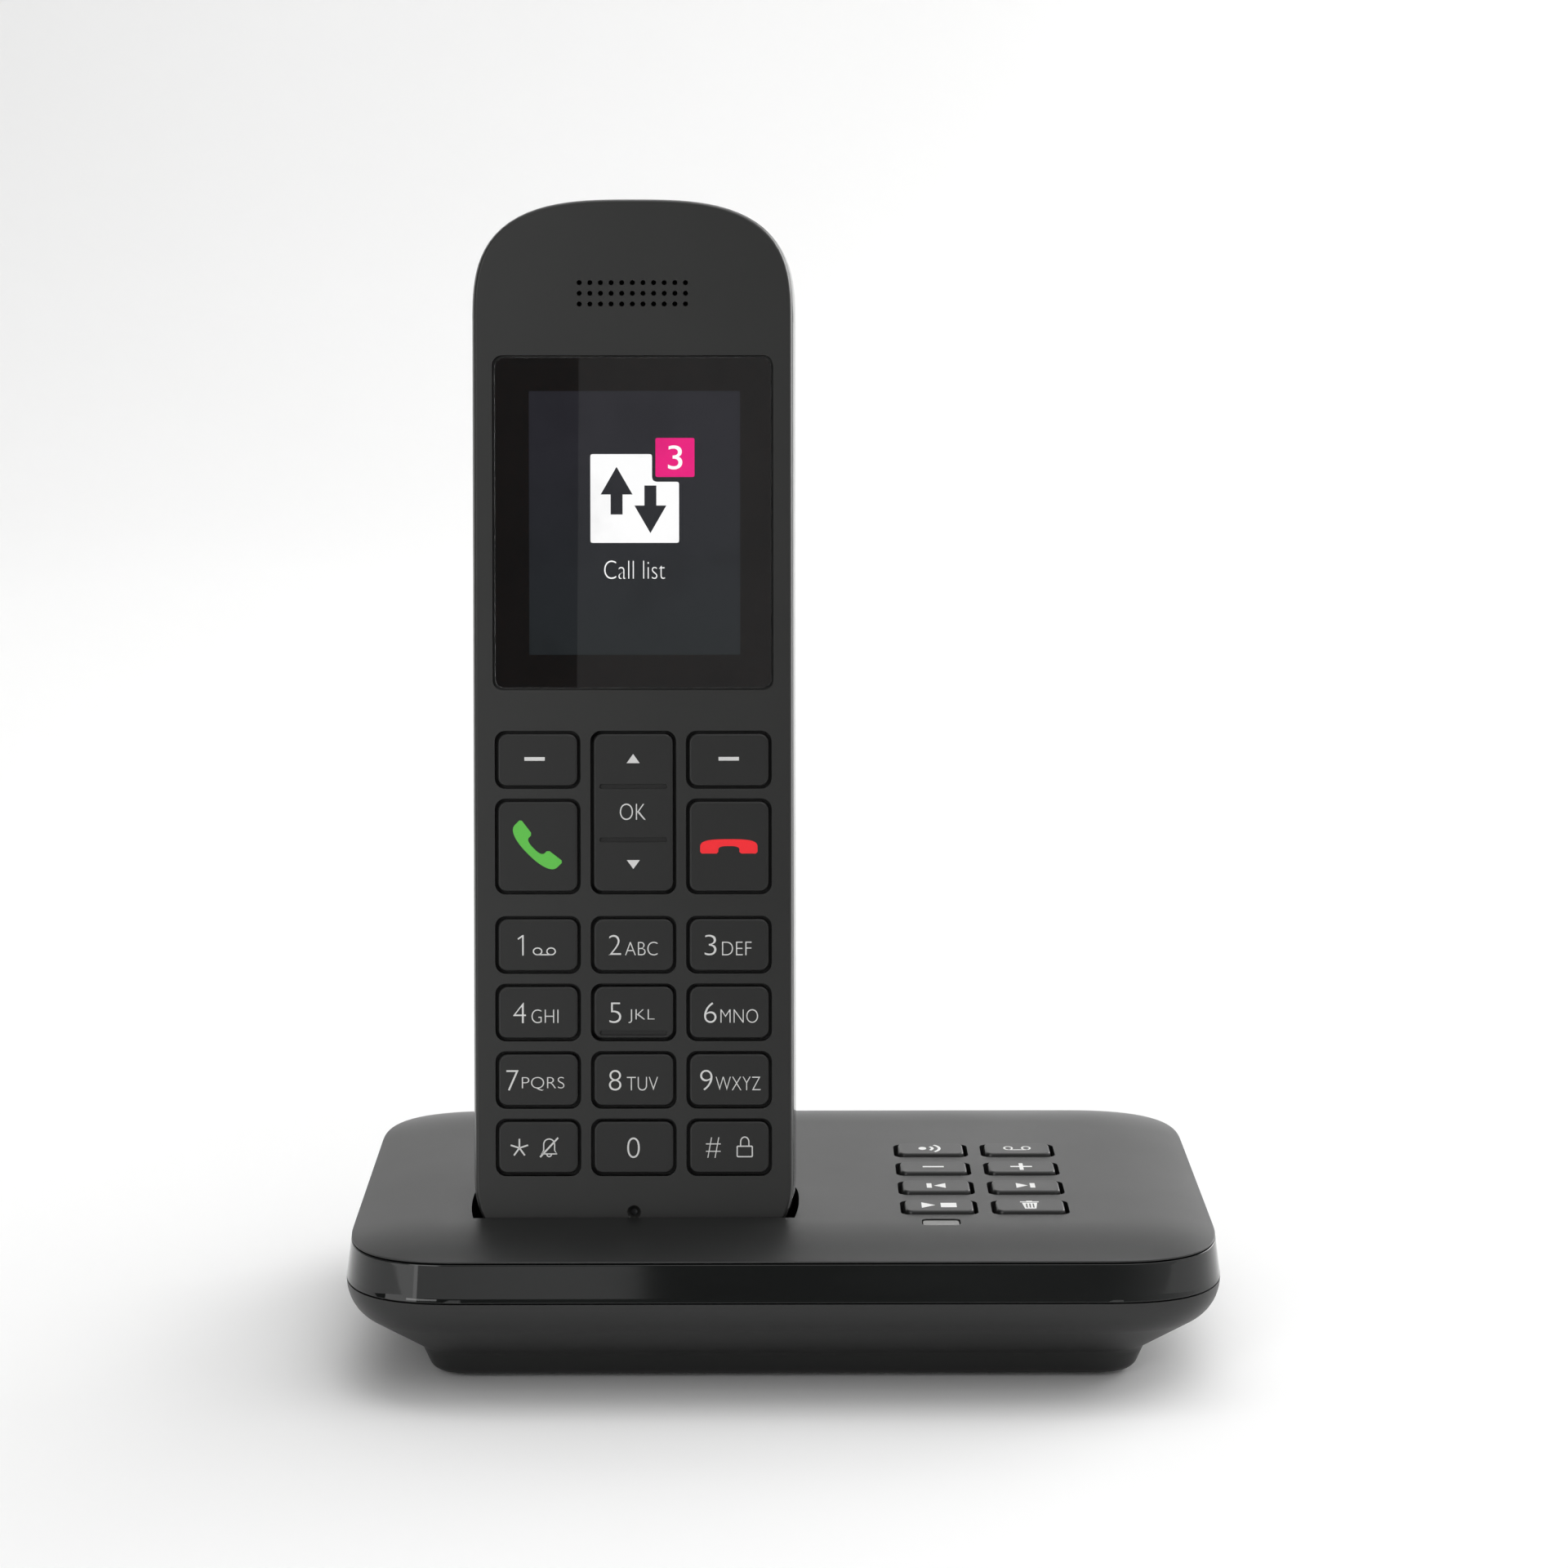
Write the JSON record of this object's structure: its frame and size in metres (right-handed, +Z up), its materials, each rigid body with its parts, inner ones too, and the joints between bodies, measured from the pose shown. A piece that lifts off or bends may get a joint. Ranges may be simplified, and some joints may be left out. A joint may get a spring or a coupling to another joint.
{
  "type": "cordless phone with base",
  "caption": "Cordless phone handset with a keypad and colour display, leaning back in a low charging base that has answering machine keys.",
  "frame": {"origin": "centre of the base in plan, on the surface that the rubber feet stand on", "axes": "+Z up, +X to the right of someone facing the keypad, +Y away from them"},
  "size_m": [0.1316, 0.0858, 0.1746],
  "materials": {
    "satin_cover": "fine satin moulded texture, charcoal",
    "gloss_band": "polished black",
    "matte_shell": "fine matt moulded texture, charcoal",
    "handset_face": "soft matt, charcoal",
    "key_cap": "satin charcoal with printed light grey legends",
    "base_key_cap": "satin charcoal with printed light grey symbols",
    "window_pane": "clear polished acrylic with a black printed border",
    "display_panel": "dark colour display",
    "lamp_lens": "frosted light guide",
    "circuit_board": "green solder mask",
    "speaker_body": "pressed speaker and capsule bodies",
    "socket_plastic": "black socket moulding",
    "contact_metal": "gold flashed spring contact",
    "plated_pad": "nickel plated",
    "screw_steel": "zinc plated screw",
    "foot_rubber": "matt rubber",
    "mat_silicone": "translucent silicone",
    "carrier_plastic": "natural moulded plastic",
    "cell_wrap": "printed cell sleeve"
  },
  "bodies": {
    "base": {"base_top_cover": "satin_cover", "base_trim_band": "gloss_band", "base_bottom_shell": "matte_shell", "base_board": "circuit_board", "base_status_lamp": "lamp_lens", "base_loudspeaker": "speaker_body", "charge_contact_left": "contact_metal", "charge_contact_right": "contact_metal", "line_socket": "socket_plastic", "power_socket": "socket_plastic", "base_screw_left": "screw_steel", "base_screw_right": "screw_steel", "rubber_foot_front_left": "foot_rubber", "rubber_foot_front_right": "foot_rubber", "rubber_foot_back_left": "foot_rubber", "rubber_foot_back_right": "foot_rubber"},
    "handset": {"handset_front_cover": "handset_face", "handset_side_frame": "gloss_band", "handset_rear_cover": "matte_shell", "display_window": "window_pane", "display_module": "display_panel", "keypad_mat": "mat_silicone", "handset_board": "circuit_board", "earpiece": "speaker_body", "microphone": "speaker_body", "handset_ringer": "speaker_body", "battery_cell_left": "cell_wrap", "battery_cell_right": "cell_wrap", "battery_bridge": "plated_pad", "charge_pad_left": "plated_pad", "charge_pad_right": "plated_pad", "handset_screw_left": "screw_steel", "handset_screw_right": "screw_steel"},
    "battery_door": {"battery_door": "matte_shell"},
    "navigation_carrier": {"navigation_carrier": "carrier_plastic"},
    "navigation_key": {"key_navigation": "key_cap"},
    "key_soft_left_cap": {"key_soft_left": "key_cap"},
    "key_soft_right_cap": {"key_soft_right": "key_cap"},
    "key_call_cap": {"key_call": "key_cap"},
    "key_end_cap": {"key_end": "key_cap"},
    "key_1_cap": {"key_1": "key_cap"},
    "key_2_cap": {"key_2": "key_cap"},
    "key_3_cap": {"key_3": "key_cap"},
    "key_4_cap": {"key_4": "key_cap"},
    "key_5_cap": {"key_5": "key_cap"},
    "key_6_cap": {"key_6": "key_cap"},
    "key_7_cap": {"key_7": "key_cap"},
    "key_8_cap": {"key_8": "key_cap"},
    "key_9_cap": {"key_9": "key_cap"},
    "key_star_cap": {"key_star": "key_cap"},
    "key_0_cap": {"key_0": "key_cap"},
    "key_hash_cap": {"key_hash": "key_cap"},
    "base_key_page_cap": {"base_key_page": "base_key_cap"},
    "base_key_messages_cap": {"base_key_messages": "base_key_cap"},
    "base_key_quieter_cap": {"base_key_quieter": "base_key_cap"},
    "base_key_louder_cap": {"base_key_louder": "base_key_cap"},
    "base_key_back_cap": {"base_key_back": "base_key_cap"},
    "base_key_forward_cap": {"base_key_forward": "base_key_cap"},
    "base_key_play_cap": {"base_key_play": "base_key_cap"},
    "base_key_delete_cap": {"base_key_delete": "base_key_cap"}
  },
  "joints": [
    {"name": "handset_lift", "type": "slide", "parent": "base", "child": "handset", "axis": [0, 0.1595, 0.9872], "range_m": [0, 0.04]},
    {"name": "battery_door_pull", "type": "slide", "parent": "handset", "child": "battery_door", "axis": [0, 0.9872, -0.1595], "range_m": [0, 0.012]},
    {"name": "key_soft_left_press", "type": "slide", "parent": "handset", "child": "key_soft_left_cap", "axis": [0, 0.9872, -0.1595], "range_m": [0, 0.0004], "stiffness_N_per_m": 3500},
    {"name": "key_soft_right_press", "type": "slide", "parent": "handset", "child": "key_soft_right_cap", "axis": [0, 0.9872, -0.1595], "range_m": [0, 0.0004], "stiffness_N_per_m": 3500},
    {"name": "key_call_press", "type": "slide", "parent": "handset", "child": "key_call_cap", "axis": [0, 0.9872, -0.1595], "range_m": [0, 0.0004], "stiffness_N_per_m": 3500},
    {"name": "key_end_press", "type": "slide", "parent": "handset", "child": "key_end_cap", "axis": [0, 0.9872, -0.1595], "range_m": [0, 0.0004], "stiffness_N_per_m": 3500},
    {"name": "key_1_press", "type": "slide", "parent": "handset", "child": "key_1_cap", "axis": [0, 0.9872, -0.1595], "range_m": [0, 0.0004], "stiffness_N_per_m": 3500},
    {"name": "key_2_press", "type": "slide", "parent": "handset", "child": "key_2_cap", "axis": [0, 0.9872, -0.1595], "range_m": [0, 0.0004], "stiffness_N_per_m": 3500},
    {"name": "key_3_press", "type": "slide", "parent": "handset", "child": "key_3_cap", "axis": [0, 0.9872, -0.1595], "range_m": [0, 0.0004], "stiffness_N_per_m": 3500},
    {"name": "key_4_press", "type": "slide", "parent": "handset", "child": "key_4_cap", "axis": [0, 0.9872, -0.1595], "range_m": [0, 0.0004], "stiffness_N_per_m": 3500},
    {"name": "key_5_press", "type": "slide", "parent": "handset", "child": "key_5_cap", "axis": [0, 0.9872, -0.1595], "range_m": [0, 0.0004], "stiffness_N_per_m": 3500},
    {"name": "key_6_press", "type": "slide", "parent": "handset", "child": "key_6_cap", "axis": [0, 0.9872, -0.1595], "range_m": [0, 0.0004], "stiffness_N_per_m": 3500},
    {"name": "key_7_press", "type": "slide", "parent": "handset", "child": "key_7_cap", "axis": [0, 0.9872, -0.1595], "range_m": [0, 0.0004], "stiffness_N_per_m": 3500},
    {"name": "key_8_press", "type": "slide", "parent": "handset", "child": "key_8_cap", "axis": [0, 0.9872, -0.1595], "range_m": [0, 0.0004], "stiffness_N_per_m": 3500},
    {"name": "key_9_press", "type": "slide", "parent": "handset", "child": "key_9_cap", "axis": [0, 0.9872, -0.1595], "range_m": [0, 0.0004], "stiffness_N_per_m": 3500},
    {"name": "key_star_press", "type": "slide", "parent": "handset", "child": "key_star_cap", "axis": [0, 0.9872, -0.1595], "range_m": [0, 0.0004], "stiffness_N_per_m": 3500},
    {"name": "key_0_press", "type": "slide", "parent": "handset", "child": "key_0_cap", "axis": [0, 0.9872, -0.1595], "range_m": [0, 0.0004], "stiffness_N_per_m": 3500},
    {"name": "key_hash_press", "type": "slide", "parent": "handset", "child": "key_hash_cap", "axis": [0, 0.9872, -0.1595], "range_m": [0, 0.0004], "stiffness_N_per_m": 3500},
    {"name": "navigation_press", "type": "slide", "parent": "handset", "child": "navigation_carrier", "axis": [0, 0.9872, -0.1595], "range_m": [0, 0.0004], "stiffness_N_per_m": 3500},
    {"name": "navigation_rock", "type": "hinge", "parent": "navigation_carrier", "child": "navigation_key", "pos_m": [-0.0225, -0.01333, 0.08363], "axis": [1, 0, 0], "range_deg": [-1.5, 1.5], "stiffness_Nm_per_rad": 0.6},
    {"name": "base_key_page_press", "type": "slide", "parent": "base", "child": "base_key_page_cap", "axis": [0, 0, -1], "range_m": [0, 0.0005], "stiffness_N_per_m": 3000},
    {"name": "base_key_messages_press", "type": "slide", "parent": "base", "child": "base_key_messages_cap", "axis": [0, 0, -1], "range_m": [0, 0.0005], "stiffness_N_per_m": 3000},
    {"name": "base_key_quieter_press", "type": "slide", "parent": "base", "child": "base_key_quieter_cap", "axis": [0, 0, -1], "range_m": [0, 0.0005], "stiffness_N_per_m": 3000},
    {"name": "base_key_louder_press", "type": "slide", "parent": "base", "child": "base_key_louder_cap", "axis": [0, 0, -1], "range_m": [0, 0.0005], "stiffness_N_per_m": 3000},
    {"name": "base_key_back_press", "type": "slide", "parent": "base", "child": "base_key_back_cap", "axis": [0, 0, -1], "range_m": [0, 0.0005], "stiffness_N_per_m": 3000},
    {"name": "base_key_forward_press", "type": "slide", "parent": "base", "child": "base_key_forward_cap", "axis": [0, 0, -1], "range_m": [0, 0.0005], "stiffness_N_per_m": 3000},
    {"name": "base_key_play_press", "type": "slide", "parent": "base", "child": "base_key_play_cap", "axis": [0, 0, -1], "range_m": [0, 0.0005], "stiffness_N_per_m": 3000},
    {"name": "base_key_delete_press", "type": "slide", "parent": "base", "child": "base_key_delete_cap", "axis": [0, 0, -1], "range_m": [0, 0.0005], "stiffness_N_per_m": 3000}
  ]
}
